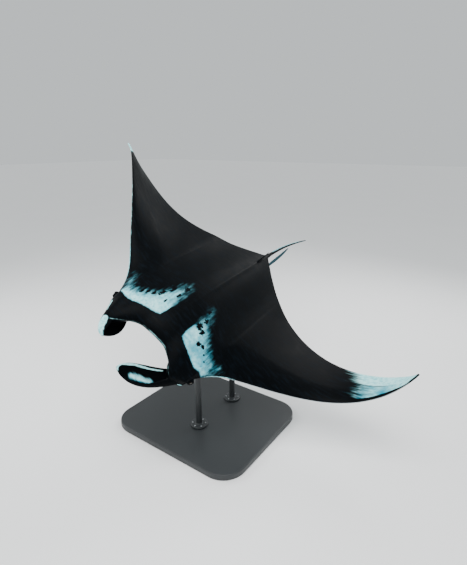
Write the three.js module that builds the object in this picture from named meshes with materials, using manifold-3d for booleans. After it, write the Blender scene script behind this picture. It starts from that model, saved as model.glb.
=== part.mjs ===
// A life-size museum model of a giant manta ray, banking in a turn on a plain display stand.
// The animal is shaped flat in its own frame (x to its left, y towards its tail, z up), the wings
// are then curled, and the whole is banked and set on the stand. All sizes are in millimetres.
import * as THREE from 'three';
import Module from 'manifold-3d';
import { mergeVertices } from 'three/addons/utils/BufferGeometryUtils.js';

const wasm = await Module();
wasm.setup();

// ---- driving dimensions ----
const discWidth = 4200;
const halfSpan = discWidth / 2;

// outline of the disc, seen from above
const wingRootX = 500;          // side of the head, where a wing starts
const notchY = 240;             // front corner of a wing, beside the eye
const notchStep = 127;          // how far the wing front steps back beside the notch
const notchFade = 0.05;         // share of the wing's span over which it does
const tipY = 1247;              // wing tip
const frontCurve = [1.293, -0.338, 0.045];         // front edge: powers 1, 2 and 12 of the span
const rearCurve = [2.368, -1.932, -0.018, 0.582];  // rear edge: powers 1, 2, 3 and 6
const rearX = 147;              // where the rear edge crosses the line below
const rearY = 1900;             // root of the pelvic fins
const jawY = 151;               // middle of the upper lip
const jawCornerY = 12;          // upper lip at the corners of the mouth
const lipFlatX = 105;           // the lip runs straight across to here ...
const lipEndX = 385;            // ... and has turned forward by here
const mouthCornerX = 345;       // the lip arches between the corners of the mouth
const cheekY = 42;              // front of the cheeks, in the root of the cephalic fins
const cheekRound = 88;          // how far their outer corner is rounded off
const headTurn = 0.12;          // the head turns to its left, into the bank

// thickness of the disc
const crownHeight = 232;        // back above the middle plane
const bellyDepth = 188;
const crownSpread = 0.2;        // width of the hump over the body, as a share of half the span
const bellySpread = 0.22;
const wingBack = 150;           // rise of the back over a wing's root
const wingBelly = 112;
const tipHalfThickness = 9;
const edgeHalfThickness = 3.5;  // rear edge of the wings
const backPeak = 0.3;           // where along the chord the back is highest
const wingPeak = 0.34;          // the same on the wings
const bodySide = [220, 860];    // the body's cross-section turns into the wing's between these
const rearSide = [50, 430];     // the same at the rear end
// powers and shares that shape a chord's profile: how it thins along the span, how blunt its front
// is, how it falls off to the rear on a wing and on the body, and along the spine
const backProfile = { thin: 1.6, nose: [0.55, 0.8], fall: [1.15, 1.4], spine: [0.84, 1.7] };
const bellyProfile = { thin: 1.7, nose: [0.6, 1], fall: [1.1, 1.3], spine: [0.87, 1.5] };
const lipHeight = 88;           // middle of the upper lip, above the middle plane
const cornerHeight = -8;        // upper lip at the corners of the mouth
const chinSetback = 150;        // lower lip behind the upper lip
const chinDepth = 150;
const cheekSetback = 70;        // the same at the sides, where the cephalic fins grow
const cheekDepth = 158;

// curl of each wing: bend angle (powers 1 to 3 of the span), twist (powers 1 and 2), sweep
const curlStartX = 504;
const curlEase = 0.08;          // share of the span over which twist and camber set in
const leftWing = {
  side: 1, bend: [0.859, -0.69, 1.662], twist: [0.022, -0.625], sweep: -33, camber: 19,
};
const rightWing = {
  side: -1, bend: [1.067, -0.383, -0.419], twist: [0.481, 1.031], sweep: 378, camber: 10,
};
const twistY = 924;             // the line that a wing twists about
const twistReach = 840;         // distance from it at which the camber is full

// mouth
const mouthHalfWidth = 292;
const mouthHalfHeight = 50;
const mouthDepth = 300;
const mouthPlace = [0, 221, 0];
const mouthSlope = -0.22;

// eyes
const eyeRadius = 27;
const eyePlace = [480, 196, -16];

// tail, dorsal fin and pelvic fins
const tailRootY = 1840;
const tailLength = 1150;
const tailRootRadius = 52;
const tailNeckRadius = 24;
const tailTipRadius = 6;
const tailTaper = [0.08, 0.32]; // the root narrows to the neck between these shares of the length
const tailFlatness = 0.85;
const tailKnob = { height: 11, place: 0.2, width: 0.035 };  // the stub of the sting
const tailSideways = 95;
const tailDroop = 70;
const dorsalBase = [1700, 1880];
const dorsalHeight = 118;
const dorsalHalfThickness = 15;
const leafTipThickness = 3;
const leafThinning = 0.55;      // how much thinner a thin fin is at its rear edge
const dorsalLift = 6;           // height of the cut over the back
// pelvic fins: x, y and share of the droop along the outer and the inner edge
const pelvicOuter = [[80, 1830, 0], [106, 1930, 0.05], [110, 2190, 0.5], [72, 2375, 1]];
const pelvicInner = [[72, 1890, 0], [62, 2010, 0.05], [60, 2200, 0.55], [61, 2368, 1]];
const pelvicRootZ = -8;
const pelvicHalfThickness = 11;
const pelvicDroop = { left: -85, right: 240 };

// cuts between the parts
const gap = 0.3;
const wingCutX = 500;
const finCutY = 78;
const finSplitX = -60;          // keeps the two cephalic fins apart where they reach inwards
const neckCutY = 560;
const tailCutY = 1925;
const tailCuts = [2200, 2580];
const tailHalfWidth = 56;       // the tail's share of the rear end, between the pelvic fins
const pelvicEndY = 2440;
const jawBox = { halfWidth: 330, rear: 500, top: -34 };

// pose and stand
const bank = THREE.MathUtils.degToRad(42);
const noseDown = THREE.MathUtils.degToRad(9);
const bodyHeight = 1330;        // height of the animal's origin over the floor
const balanceY = 900;           // the point of the back line that stands over the base's middle
const baseSize = [1500, 1300, 60];
const rodRadius = 32;
const rodSides = 24;
const flangeRadius = 95;
const rodInset = 70;            // depth of a rod's end below the animal's middle plane
const rodFeet = [[40, -190], [40, 380]];

const smooth = (v, from, to) => {
  const t = Math.min(Math.max((v - from) / (to - from), 0), 1);
  return t * t * (3 - 2 * t);
};
const mix = (a, b, t) => a + (b - a) * t;

// ---- outline ----
function leadingY(x) {
  const ax = Math.abs(x);
  const s = Math.max((ax - wingRootX) / (halfSpan - wingRootX), 0);
  const [f1, f2, f12] = frontCurve;
  const wing = notchY + (tipY - notchY) * (f1 * s + f2 * s ** 2 + f12 * s ** 12)
    + notchStep * (1 - Math.exp(-s / notchFade)) * (1 - s);
  const lip = mix(jawY, jawCornerY, smooth(ax, lipFlatX, lipEndX));
  const corner = mix(lip, cheekY + cheekRound * smooth(ax, 380, 475), smooth(ax, 335, 400));
  return mix(corner, wing, smooth(ax, 462, wingRootX));
}

function trailingY(x) {
  const s = (Math.abs(x) - rearX) / (halfSpan - rearX);
  const [r1, r2, r3, r6] = rearCurve;
  return rearY + (tipY - rearY) * (r1 * s + r2 * s ** 2 + r3 * s ** 3 + r6 * s ** 6);
}

// ---- thickness: heights of the back and the belly over the middle plane ----
// (v runs along the chord, from 0 at the front edge to 1 at the rear edge)
function profile(x, v, shape, depth, wingDepth, spread, wingPlace) {
  const ax = Math.abs(x);
  const a = ax / halfSpan;
  const hump = (depth - wingDepth - tipHalfThickness) * Math.exp(-((a / spread) ** 2));
  const crown = tipHalfThickness + wingDepth * (1 - a) ** shape.thin + hump;
  const body = 1 - smooth(ax, ...bodySide);
  const core = 1 - smooth(ax, ...rearSide);
  const peak = mix(wingPlace, backPeak, body);
  const nose = (1 - (1 - Math.min(v / peak, 1)) ** 2) ** mix(...shape.nose, body);
  const fall = Math.max(v - peak, 0) / (1 - peak);
  const [share, power] = shape.spine;
  const rear = mix(1 - fall ** mix(...shape.fall, body), 1 - share * fall ** power, core);
  return edgeHalfThickness + (crown - edgeHalfThickness) * nose * rear;
}
const backHeight = (x, v) => (
  profile(x, v, backProfile, crownHeight, wingBack, crownSpread, wingPeak)
);
const bellyHeight = (x, v) => (
  -profile(x, v, bellyProfile, bellyDepth, wingBelly, bellySpread, backPeak)
);

// the upper lip arches over the mouth, and the lower lip lies behind and below it
function headRise(x, y) {
  const ax = Math.abs(x);
  const arch = mix(lipHeight, cornerHeight, Math.min(ax / mouthCornerX, 1) ** 2);
  return arch * (1 - smooth(ax, 380, 480)) * (1 - smooth(y, 60, 620));
}

function diskPoint(x, v, below) {
  const chord = v ** 1.6;
  const y = mix(leadingY(x), trailingY(x), chord);
  let z = below ? bellyHeight(x, chord) : backHeight(x, chord);
  if (below) {
    const side = smooth(Math.abs(x), 230, 340);
    const back = Math.min((y - leadingY(x)) / mix(chinSetback, cheekSetback, side), 1);
    const chin = -mix(chinDepth, cheekDepth, side) * mix(back, Math.sqrt(1 - (1 - back) ** 2), side);
    z = mix(z, Math.min(z, chin), (1 - smooth(Math.abs(x), 450, 490)) * (1 - smooth(y, 300, 700)));
  }
  const turned = y + headTurn * x * (1 - smooth(Math.abs(x), 380, 490)) * (1 - smooth(y, 100, 620));
  return new THREE.Vector3(x, turned, z + headRise(x, y));
}

// ---- curl of the wings ----
const curlSteps = 60;
function curlTable(wing) {
  const table = [[0, 0]];
  const step = (halfSpan - curlStartX) / curlSteps;
  for (let i = 1; i <= curlSteps; i += 1) {
    const a = (i - 0.5) / curlSteps;
    const angle = wing.bend[0] * a + wing.bend[1] * a ** 2 + wing.bend[2] * a ** 3;
    const last = table[i - 1];
    table.push([last[0] + step * Math.cos(angle), last[1] + step * Math.sin(angle)]);
  }
  return table;
}
const tables = new Map([[leftWing, curlTable(leftWing)], [rightWing, curlTable(rightWing)]]);

function curl(p) {
  const ax = Math.abs(p.x);
  if (ax <= curlStartX) return p.clone();
  const wing = p.x > 0 ? leftWing : rightWing;
  const a = Math.min((ax - curlStartX) / (halfSpan - curlStartX), 1);
  const k = Math.min(a * curlSteps, curlSteps - 1e-6);
  const i = Math.floor(k);
  const [from, to] = [tables.get(wing)[i], tables.get(wing)[i + 1]];
  const angle = wing.bend[0] * a + wing.bend[1] * a ** 2 + wing.bend[2] * a ** 3;
  const out = mix(from[0], to[0], k - i) - p.z * Math.sin(angle);
  const up = mix(from[1], to[1], k - i) + p.z * Math.cos(angle);
  const ease = a * (1 + curlEase) / (a + curlEase);
  const twist = wing.twist[0] * a * ease + wing.twist[1] * a ** 2;
  const lead = THREE.MathUtils.clamp((twistY - p.y) / twistReach, -1, 1);
  return new THREE.Vector3(
    wing.side * (curlStartX + out),
    p.y + wing.sweep * a ** 2,
    up - twist * (p.y - twistY) + 2 * wing.camber * Math.sin(Math.PI * a) * lead * ease,
  );
}

// ---- meshes ----
// a closed skin over rings of points, with a flat fan at each end
function loft(rings) {
  const count = rings[0].length;
  const points = rings.flat();
  const index = [];
  for (let i = 0; i + 1 < rings.length; i += 1) {
    for (let j = 0; j < count; j += 1) {
      const a = i * count + j;
      const b = i * count + (j + 1) % count;
      index.push(a, b, b + count, a, b + count, a + count);
    }
  }
  const centre = (ring) => ring.reduce((sum, p) => sum.add(p), new THREE.Vector3()).divideScalar(count);
  points.push(centre(rings[0]), centre(rings.at(-1)));
  const last = (rings.length - 1) * count;
  for (let j = 0; j < count; j += 1) {
    const k = (j + 1) % count;
    index.push(points.length - 2, k, j, points.length - 1, last + j, last + k);
  }
  const geometry = new THREE.BufferGeometry().setFromPoints(points);
  geometry.setIndex(index);
  return geometry;
}

function solid(geometry) {
  const bare = geometry.clone();
  bare.deleteAttribute('normal');
  bare.deleteAttribute('uv');
  const merged = mergeVertices(bare, 1e-3);
  const mesh = new wasm.Mesh({
    numProp: 3,
    vertProperties: new Float32Array(merged.attributes.position.array),
    triVerts: new Uint32Array(merged.index.array),
  });
  const made = new wasm.Manifold(mesh);
  return made.volume() < 0 ? solid(flipped(merged)) : made;
}

function flipped(geometry) {
  const index = geometry.index.array;
  for (let i = 0; i < index.length; i += 3) [index[i], index[i + 1]] = [index[i + 1], index[i]];
  return geometry;
}

function toGeometry(manifold) {
  const mesh = manifold.getMesh();
  const geometry = new THREE.BufferGeometry();
  geometry.setAttribute('position', new THREE.Float32BufferAttribute(mesh.vertProperties, 3));
  geometry.setIndex(Array.from(mesh.triVerts));
  return geometry.toNonIndexed();
}

function box(min, max) {
  const size = max.map((v, i) => v - min[i]);
  const geometry = new THREE.BoxGeometry(...size);
  geometry.translate(...max.map((v, i) => (v + min[i]) / 2));
  return solid(geometry);
}

// ---- the disc: a ring for each station across the span, closed by the tips ----
function stations() {
  const wingStations = 12;
  const half = [0, 90, 170, 235, 290, 345, 395, 440, 470, 488, 499, 525];
  for (let i = 1; i <= wingStations; i += 1) {
    const t = i / wingStations;
    half.push(mix(525, halfSpan - 3, 1 - (1 - t) ** 1.35));
  }
  return [...half.slice(1).map((x) => -x).reverse(), ...half];
}

function disc() {
  const chordSteps = 13;
  const rings = stations().map((x) => {
    const ring = [];
    for (let j = chordSteps; j >= 0; j -= 1) ring.push(curl(diskPoint(x, j / chordSteps, false)));
    for (let j = 0; j <= chordSteps; j += 1) ring.push(curl(diskPoint(x, j / chordSteps, true)));
    return ring;
  });
  return loft(rings);
}

// ---- cephalic fins: scoops between a dorsal edge, carried on from the upper lip, and a ventral one ----
const finSides = 7;
const leftFin = {
  side: 1,
  dorsal: [[356, 190, 8], [342, -50, -62], [222, -228, -98], [22, -212, -50]],
  ventral: [[318, 250, -138], [205, 70, -150], [-10, -70, -62], [22, -214, -50]],
  bulge: [[118, -6, 20], [62, -30, -66], [8, -16, -46], [0, 0, 0]],
};
const rightFin = {
  side: -1,
  dorsal: [[345, 170, 4], [288, -20, 0], [286, -105, 6], [238, -132, -16]],
  ventral: [[318, 250, -138], [190, 110, -160], [192, -14, -108], [240, -122, -38]],
  bulge: [[122, -10, 30], [140, -30, 20], [95, -70, -10], [10, -10, -10]],
};
const finThickness = [40, 17];
const finEdgeThickness = 9;
const finNarrow = 40;           // a section narrower than this is thinner too
const finCrowding = 1.7;        // the sections crowd towards the tip

const curve = (points) => new THREE.CubicBezierCurve3(...points.map((p) => new THREE.Vector3(...p)));

function cephalicFin(fin) {
  const rings = [];
  const steps = 12;
  const [dorsal, ventral, bulge] = [curve(fin.dorsal), curve(fin.ventral), curve(fin.bulge)];
  for (let i = 0; i <= steps; i += 1) {
    const t = 1 - (1 - i / steps) ** finCrowding * 0.999;
    const [top, low, out] = [dorsal.getPoint(t), ventral.getPoint(t), bulge.getPoint(t)];
    const middle = top.clone().add(low).multiplyScalar(0.5);
    const across = top.clone().sub(low).multiplyScalar(0.5);
    const width = Math.max(across.length(), 4);
    const reach = Math.max(out.length(), 4);
    const full = mix(finThickness[0], finThickness[1], t) * Math.min(width / finNarrow, 1);
    const outer = [];
    const inner = [];
    for (let j = 0; j <= finSides; j += 1) {
      const phi = Math.PI * j / finSides;
      const p = middle.clone().addScaledVector(across, Math.cos(phi)).addScaledVector(out, Math.sin(phi));
      const normal = across.clone().multiplyScalar(Math.cos(phi) / width ** 2)
        .addScaledVector(out, Math.sin(phi) / reach ** 2).normalize();
      const thick = mix(Math.min(finEdgeThickness, full), full, Math.sin(phi)) / 2;
      outer.push(p.clone().addScaledVector(normal, thick));
      inner.push(p.clone().addScaledVector(normal, -thick));
    }
    rings.push([...outer, ...inner.reverse()].map((p) => new THREE.Vector3(p.x * fin.side, p.y, p.z)));
  }
  return loft(rings);
}

// ---- tail, dorsal fin, pelvic fins ----
const onBack = (x, y) => {
  const v = (y - leadingY(x)) / (trailingY(x) - leadingY(x));
  return backHeight(x, v) + headRise(x, y);
};

function tail() {
  const path = curve([
    [0, tailRootY - 60, 4], [-25, tailRootY + 320, 6],
    [0, tailRootY + 680, -10], [tailSideways, tailRootY + tailLength, -tailDroop],
  ]);
  const rings = [];
  const steps = 18;
  const sides = 10;
  for (let i = 0; i <= steps; i += 1) {
    const t = i / steps;
    const centre = path.getPoint(t);
    const knob = tailKnob.height * Math.exp(-(((t - tailKnob.place) / tailKnob.width) ** 2));
    const root = (tailRootRadius - tailNeckRadius) * (1 - smooth(t, ...tailTaper));
    const radius = mix(tailTipRadius, tailNeckRadius, (1 - t) ** 0.8) + root;
    const ring = [];
    for (let j = 0; j < sides; j += 1) {
      const phi = 2 * Math.PI * j / sides;
      const up = Math.cos(phi) * (radius * tailFlatness + Math.max(Math.cos(phi), 0) * knob);
      ring.push(new THREE.Vector3(centre.x + Math.sin(phi) * radius, centre.y, centre.z + up));
    }
    rings.push(ring);
  }
  return loft(rings);
}

// a thin fin: rings across from root to tip, each a flat leaf between a front and a rear point
function leaf(front, rear, halfThickness, across) {
  const steps = 8;
  const sides = 10;
  const rings = [];
  for (let i = 0; i <= steps; i += 1) {
    const t = i / steps;
    const [a, b] = [front.getPoint(t), rear.getPoint(t)];
    const ring = [];
    for (let j = 0; j < sides; j += 1) {
      const phi = 2 * Math.PI * j / sides;
      const along = 0.5 - 0.5 * Math.cos(phi);
      const thick = Math.sin(phi) * mix(halfThickness, leafTipThickness, t) * (1 - leafThinning * along);
      ring.push(a.clone().lerp(b, along).addScaledVector(across, thick));
    }
    rings.push(ring);
  }
  return loft(rings);
}

function dorsalFin() {
  const [front, rear] = dorsalBase;
  const root = onBack(0, front) - 45;
  const top = onBack(0, rear) + dorsalHeight;
  const leading = [[front, root], [front + 45, root + 75], [rear - 50, top - 8], [rear + 22, top]];
  const trailing = [
    [rear - 12, root - 10], [rear - 10, root + 60], [rear + 8, top - 50], [rear + 45, top - 16],
  ];
  const edge = (points) => curve(points.map(([y, z]) => [0, y, z]));
  return leaf(edge(leading), edge(trailing), dorsalHalfThickness, new THREE.Vector3(1, 0, 0));
}

function pelvicFin(side) {
  const droop = side > 0 ? pelvicDroop.left : pelvicDroop.right;
  const edge = (points) => (
    curve(points.map(([x, y, share]) => [side * x, y, pelvicRootZ - share * droop]))
  );
  return leaf(edge(pelvicOuter), edge(pelvicInner), pelvicHalfThickness, new THREE.Vector3(0, 0, 1));
}

// ---- mouth pocket and eyes ----
function mouthPocket() {
  const pocket = new THREE.SphereGeometry(1, 20, 8);
  pocket.scale(mouthHalfWidth, mouthDepth, mouthHalfHeight);
  pocket.rotateX(mouthSlope);
  pocket.rotateZ(Math.atan(headTurn));
  pocket.translate(...mouthPlace);
  return solid(pocket);
}

function eye(side, grow) {
  const ball = new THREE.SphereGeometry(eyeRadius + grow, 12, 8);
  ball.translate(side * eyePlace[0], eyePlace[1], eyePlace[2]);
  return ball;
}

// ---- stand ----
const standFinish = new THREE.MeshStandardMaterial({ color: 0x2a2c2e, roughness: 0.45, metalness: 0.6 });

function standBase() {
  const [width, depth, thick] = baseSize;
  const corner = 220;
  const bevel = 8;
  const [w, d] = [width / 2 - bevel, depth / 2 - bevel];
  const shape = new THREE.Shape();
  shape.moveTo(-w + corner, -d);
  shape.lineTo(w - corner, -d);
  shape.absarc(w - corner, -d + corner, corner, -Math.PI / 2, 0);
  shape.absarc(w - corner, d - corner, corner, 0, Math.PI / 2);
  shape.absarc(-w + corner, d - corner, corner, Math.PI / 2, Math.PI);
  shape.absarc(-w + corner, -d + corner, corner, Math.PI, 1.5 * Math.PI);
  const plate = new THREE.ExtrudeGeometry(shape, {
    depth: thick - 2 * bevel, curveSegments: 6, bevelThickness: bevel, bevelSize: bevel, bevelSegments: 2,
    bevelOffset: 0,
  });
  plate.translate(0, 0, bevel);
  return plate;
}

// the animal's own frame in the world: banked, nose down, over the middle of the base
const pose = new THREE.Matrix4()
  .makeTranslation(0, 0, bodyHeight)
  .multiply(new THREE.Matrix4().makeRotationX(noseDown))
  .multiply(new THREE.Matrix4().makeRotationY(bank))
  .multiply(new THREE.Matrix4().makeTranslation(0, -balanceY, 0));

// a rod with a foot flange, from the base up to a given depth inside the belly
function standRod([x, y]) {
  const inverse = pose.clone().invert();
  const depthAt = (z) => new THREE.Vector3(x, y, z).applyMatrix4(inverse).z;
  const slope = (depthAt(bodyHeight) - depthAt(0)) / bodyHeight;
  const top = (-rodInset - depthAt(0)) / slope;
  const foot = baseSize[2] + gap;
  const profile = [
    [0, foot], [flangeRadius, foot], [flangeRadius, foot + 14], [flangeRadius - 5, foot + 19],
    [rodRadius + 10, foot + 21], [rodRadius, foot + 32], [rodRadius, top - 6],
    [rodRadius - 6, top], [0, top],
  ];
  const rod = new THREE.LatheGeometry(profile.map(([r, z]) => new THREE.Vector2(r, z)), rodSides);
  rod.rotateX(Math.PI / 2);
  rod.translate(x, y, 0);
  return rod;
}

// the hole that a rod stands in, in the animal's frame
function rodHole([x, y]) {
  const hole = new THREE.CylinderGeometry(rodRadius + gap, rodRadius + gap, bodyHeight, rodSides);
  hole.rotateX(Math.PI / 2);
  const inverse = pose.clone().invert();
  const depthAt = (z) => new THREE.Vector3(x, y, z).applyMatrix4(inverse).z;
  const slope = (depthAt(bodyHeight) - depthAt(0)) / bodyHeight;
  const top = (-rodInset - depthAt(0)) / slope;
  hole.translate(x, y, top + gap - bodyHeight / 2);
  hole.applyMatrix4(inverse);
  return solid(hole);
}

// ---- the whole animal, parted by thin plane cuts ----
const far = 3000;
const whole = [
  cephalicFin(leftFin), cephalicFin(rightFin), tail(), dorsalFin(), pelvicFin(1), pelvicFin(-1),
].reduce((sum, piece) => sum.add(solid(piece)), solid(disc())).subtract(mouthPocket());

const half = gap / 2;
const beyond = (side, x) => (
  side > 0 ? box([x, -far, -far], [far, far, far]) : box([-far, -far, -far], [x, far, far])
);
const behind = (y) => box([-far, y, -far], [far, far, far]);

const leftWingPart = whole.intersect(beyond(1, wingCutX + half));
const rightWingPart = whole.intersect(beyond(-1, -wingCutX - half));
const middle = whole.subtract(beyond(1, wingCutX - half)).subtract(beyond(-1, half - wingCutX));

const front = middle.subtract(behind(finCutY - half));
const leftFinPart = front.intersect(beyond(1, finSplitX + half));
const rightFinPart = front.intersect(beyond(-1, finSplitX - half));

const headAll = middle.intersect(behind(finCutY + half)).subtract(behind(neckCutY - half));
const jawRegion = (grow) => box(
  [-jawBox.halfWidth - grow, 0, -far],
  [jawBox.halfWidth + grow, jawBox.rear + grow, jawBox.top + grow],
);
const jawPart = headAll.intersect(jawRegion(-half));
const sockets = [1, -1].map((side) => solid(eye(side, gap)));
const headPart = sockets.reduce((sum, hole) => sum.subtract(hole), headAll.subtract(jawRegion(half)));

const rear = middle.intersect(behind(neckCutY + half));
const rearEnd = rear.intersect(behind(tailCutY + half));
const pelvicRegion = (side, grow) => (
  beyond(side, side * (tailHalfWidth - grow)).subtract(behind(pelvicEndY))
);
const pelvicParts = [1, -1].map((side) => rearEnd.intersect(pelvicRegion(side, -half)));
const tailAll = rearEnd.subtract(pelvicRegion(1, half)).subtract(pelvicRegion(-1, half));
const tailStops = [tailCutY, ...tailCuts, far - 1];
const tailParts = tailStops.slice(1).map(
  (to, i) => tailAll.intersect(behind(tailStops[i] + half)).subtract(behind(to - half)),
);

// the dorsal fin is parted along the slope of the back
function dorsalRegion(grow) {
  const [from, to] = dorsalBase;
  const [z0, z1] = [onBack(0, from), onBack(0, to)];
  const region = new THREE.BoxGeometry(120 + 2 * grow, 4 * (to - from), 400);
  region.translate(0, 0, 200 + dorsalLift - grow);
  region.rotateX(Math.atan2(z1 - z0, to - from));
  region.translate(0, (from + to) / 2, (z0 + z1) / 2);
  return solid(region).subtract(behind(tailCutY));
}
const trunkAll = rear.subtract(behind(tailCutY - half));
const dorsalPart = trunkAll.intersect(dorsalRegion(-half));
const trunkPart = rodFeet.reduce(
  (sum, foot) => sum.subtract(rodHole(foot)),
  trunkAll.subtract(dorsalRegion(half)),
);

// ---- the model ----
const skin = (color) => new THREE.MeshStandardMaterial({ color, roughness: 0.42, metalness: 0 });
const colors = { back: 0x10151b, fins: 0x151b22, belly: 0xc9d3d6 };

const animal = new THREE.Group();
const addPart = (name, part, color) => {
  const mesh = new THREE.Mesh(toGeometry(part), skin(color));
  mesh.name = name;
  animal.add(mesh);
};
addPart('head', headPart, colors.back);
addPart('lower_jaw', jawPart, colors.belly);
addPart('trunk', trunkPart, colors.back);
addPart('left_wing', leftWingPart, colors.back);
addPart('right_wing', rightWingPart, colors.back);
addPart('left_cephalic_fin', leftFinPart, colors.fins);
addPart('right_cephalic_fin', rightFinPart, colors.fins);
addPart('dorsal_fin', dorsalPart, colors.fins);
addPart('left_pelvic_fin', pelvicParts[0], colors.fins);
addPart('right_pelvic_fin', pelvicParts[1], colors.fins);
['tail_base', 'tail_middle', 'tail_tip'].forEach((name, i) => addPart(name, tailParts[i], colors.fins));

const eyeFinish = new THREE.MeshStandardMaterial({ color: 0x050608, roughness: 0.08, metalness: 0 });
[['left_eye', 1], ['right_eye', -1]].forEach(([name, side]) => {
  const ball = new THREE.Mesh(eye(side, 0), eyeFinish);
  ball.name = name;
  animal.add(ball);
});
animal.applyMatrix4(pose);

const stand = new THREE.Group();
const addStand = (name, geometry) => {
  const mesh = new THREE.Mesh(geometry, standFinish);
  mesh.name = name;
  stand.add(mesh);
};
addStand('stand_base', standBase());
addStand('stand_rod_front', standRod(rodFeet[0]));
addStand('stand_rod_rear', standRod(rodFeet[1]));

const model = new THREE.Group();
model.add(animal, stand);
export default model;
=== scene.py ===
import math

import bpy
import numpy as np
from mathutils import Matrix, Vector


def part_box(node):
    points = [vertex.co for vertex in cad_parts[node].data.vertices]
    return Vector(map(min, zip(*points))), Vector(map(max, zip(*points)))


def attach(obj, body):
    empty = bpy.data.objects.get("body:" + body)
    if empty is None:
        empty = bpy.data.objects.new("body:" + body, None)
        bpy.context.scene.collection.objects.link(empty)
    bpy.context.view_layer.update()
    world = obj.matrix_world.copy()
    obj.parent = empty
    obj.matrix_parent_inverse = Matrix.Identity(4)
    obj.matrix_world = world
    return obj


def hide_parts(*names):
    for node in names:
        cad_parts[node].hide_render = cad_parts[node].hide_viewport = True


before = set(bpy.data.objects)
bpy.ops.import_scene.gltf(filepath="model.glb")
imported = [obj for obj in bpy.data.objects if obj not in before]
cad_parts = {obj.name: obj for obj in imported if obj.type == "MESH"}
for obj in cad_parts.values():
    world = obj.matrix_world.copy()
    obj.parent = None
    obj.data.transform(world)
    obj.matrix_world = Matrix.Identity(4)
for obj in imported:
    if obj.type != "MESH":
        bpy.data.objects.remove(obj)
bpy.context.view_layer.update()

# A life-size museum model of a giant manta ray. Its skin is shaped flat in the animal's own frame
# (millimetres, x to its left, y to its tail, z up), the wings are curled, and the whole is banked.

fleshNodes = [
    "head", "lower_jaw", "trunk", "left_wing", "right_wing", "left_cephalic_fin", "right_cephalic_fin",
    "dorsal_fin", "left_pelvic_fin", "right_pelvic_fin", "tail_base", "tail_middle", "tail_tip",
]


def smooth(v, start, end):
    t = np.clip((v - start) / (end - start), 0.0, 1.0)
    return t * t * (3.0 - 2.0 * t)


def mix(a, b, t):
    return a + (b - a) * t


def bump(v, centre, width):
    return np.exp(-(((v - centre) / width) ** 2))


def band(v, riseStart, riseEnd, fallStart, fallEnd):
    return smooth(v, riseStart, riseEnd) * (1 - smooth(v, fallStart, fallEnd))


def bezier(points, t):
    p = np.array(points, float)
    t = np.asarray(t, float)[..., None]
    return (1 - t) ** 3 * p[0] + 3 * t * (1 - t) ** 2 * p[1] + 3 * t * t * (1 - t) * p[2] + t ** 3 * p[3]


# the disc
disc = {
    "halfSpan": 2100, "wingRootX": 500, "notchY": 240, "notchStep": 127, "notchFade": 0.05, "tipY": 1247,
    "frontCurve": (1.293, -0.338, 0.045), "rearCurve": (2.368, -1.932, -0.018, 0.582),
    "rearX": 147, "rearY": 1900, "jawY": 151, "jawCornerY": 12, "lipX": (105, 385), "mouthCornerX": 345,
    "cheekY": 42, "cheekRound": 88, "headTurn": 0.12, "lipHeight": 88, "cornerHeight": -8,
    "chinSetback": 150, "chinDepth": 150, "cheekSetback": 70, "cheekDepth": 158,
    "tipHalfThickness": 9, "edgeHalfThickness": 3.5, "bodySide": (220, 860), "rearSide": (50, 430),
}
# where, in |x| or y, one form of the head passes into the next
headBlends = {
    "lipToCheek": (335, 400), "cheekRise": (380, 475), "cheekToWing": 462, "archX": (380, 480),
    "archY": (60, 620), "turnX": (380, 490), "turnY": (100, 620), "chinToCheek": (230, 340),
    "chinX": (450, 490), "chinY": (300, 700),
}
# how thick the body and the wings are, and the powers that shape a chord's profile
backShape = {
    "depth": 232, "wing": 150, "spread": 0.2, "peak": (0.34, 0.3), "thin": 1.6,
    "nose": (0.55, 0.8), "fall": (1.15, 1.4), "spine": (0.84, 1.7),
}
bellyShape = {
    "depth": 188, "wing": 112, "spread": 0.22, "peak": (0.3, 0.3), "thin": 1.7,
    "nose": (0.6, 1.0), "fall": (1.1, 1.3), "spine": (0.87, 1.5),
}
chordSpacing = 1.6  # rows of points crowd towards the front edge


def leadingY(x):
    d = disc
    ax = np.abs(x)
    s = np.maximum((ax - d["wingRootX"]) / (d["halfSpan"] - d["wingRootX"]), 0)
    f1, f2, f12 = d["frontCurve"]
    wing = d["notchY"] + (d["tipY"] - d["notchY"]) * (f1 * s + f2 * s ** 2 + f12 * s ** 12)
    wing = wing + d["notchStep"] * (1 - np.exp(-s / d["notchFade"])) * (1 - s)
    lip = mix(d["jawY"], d["jawCornerY"], smooth(ax, *d["lipX"]))
    cheek = d["cheekY"] + d["cheekRound"] * smooth(ax, *headBlends["cheekRise"])
    corner = mix(lip, cheek, smooth(ax, *headBlends["lipToCheek"]))
    return mix(corner, wing, smooth(ax, headBlends["cheekToWing"], d["wingRootX"]))


def trailingY(x):
    d = disc
    s = (np.abs(x) - d["rearX"]) / (d["halfSpan"] - d["rearX"])
    r1, r2, r3, r6 = d["rearCurve"]
    return d["rearY"] + (d["tipY"] - d["rearY"]) * (r1 * s + r2 * s ** 2 + r3 * s ** 3 + r6 * s ** 6)


# height of the back or depth of the belly at share v of the chord
def profile(x, v, shape):
    ax = np.abs(x)
    a = np.minimum(ax / disc["halfSpan"], 1)
    hump = (shape["depth"] - shape["wing"] - disc["tipHalfThickness"]) * bump(a, 0, shape["spread"])
    crown = disc["tipHalfThickness"] + shape["wing"] * (1 - a) ** shape["thin"] + hump
    body = 1 - smooth(ax, *disc["bodySide"])
    core = 1 - smooth(ax, *disc["rearSide"])
    peak = mix(*shape["peak"], body)
    nose = (1 - (1 - np.minimum(v / peak, 1)) ** 2) ** mix(*shape["nose"], body)
    fall = np.maximum(v - peak, 0) / (1 - peak)
    share, power = shape["spine"]
    rear = mix(1 - fall ** mix(*shape["fall"], body), 1 - share * fall ** power, core)
    return disc["edgeHalfThickness"] + (crown - disc["edgeHalfThickness"]) * nose * rear


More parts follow.
